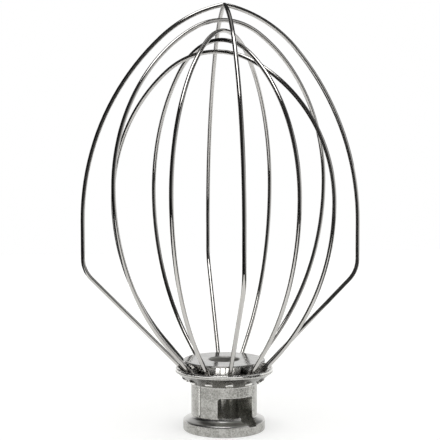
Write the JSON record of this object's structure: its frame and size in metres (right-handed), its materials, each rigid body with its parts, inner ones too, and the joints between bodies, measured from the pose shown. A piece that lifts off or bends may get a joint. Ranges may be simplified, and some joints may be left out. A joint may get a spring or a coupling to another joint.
{
  "type": "stand mixer wire whisk",
  "caption": "Balloon wire whisk attachment for a stand mixer: nested bent wire loops hooked into a flared cast hub with a shaft bore, a bayonet slot and a round retaining cap.",
  "frame": {"origin": "centre of the flat foot of the hub, on the axis of the shaft bore", "axes": "+Z along the bore axis from the foot towards the crown of the wires, +X in the plane of the outer loop that lies under the other where they cross, -Y on the side of the bayonet slot"},
  "size_m": [0.1314, 0.1314, 0.1992],
  "materials": {
    "cast_aluminium": "burnished die casting, satin",
    "polished_cap": "polished stainless sheet",
    "stainless_wire": "bright drawn stainless wire"
  },
  "bodies": {
    "root": {"hub": "cast_aluminium", "retaining_cap": "polished_cap", "outer_under_loop": "stainless_wire", "outer_over_loop": "stainless_wire", "inner_first_loop": "stainless_wire", "inner_second_loop": "stainless_wire", "inner_third_loop": "stainless_wire", "inner_fourth_loop": "stainless_wire"}
  },
  "joints": []
}
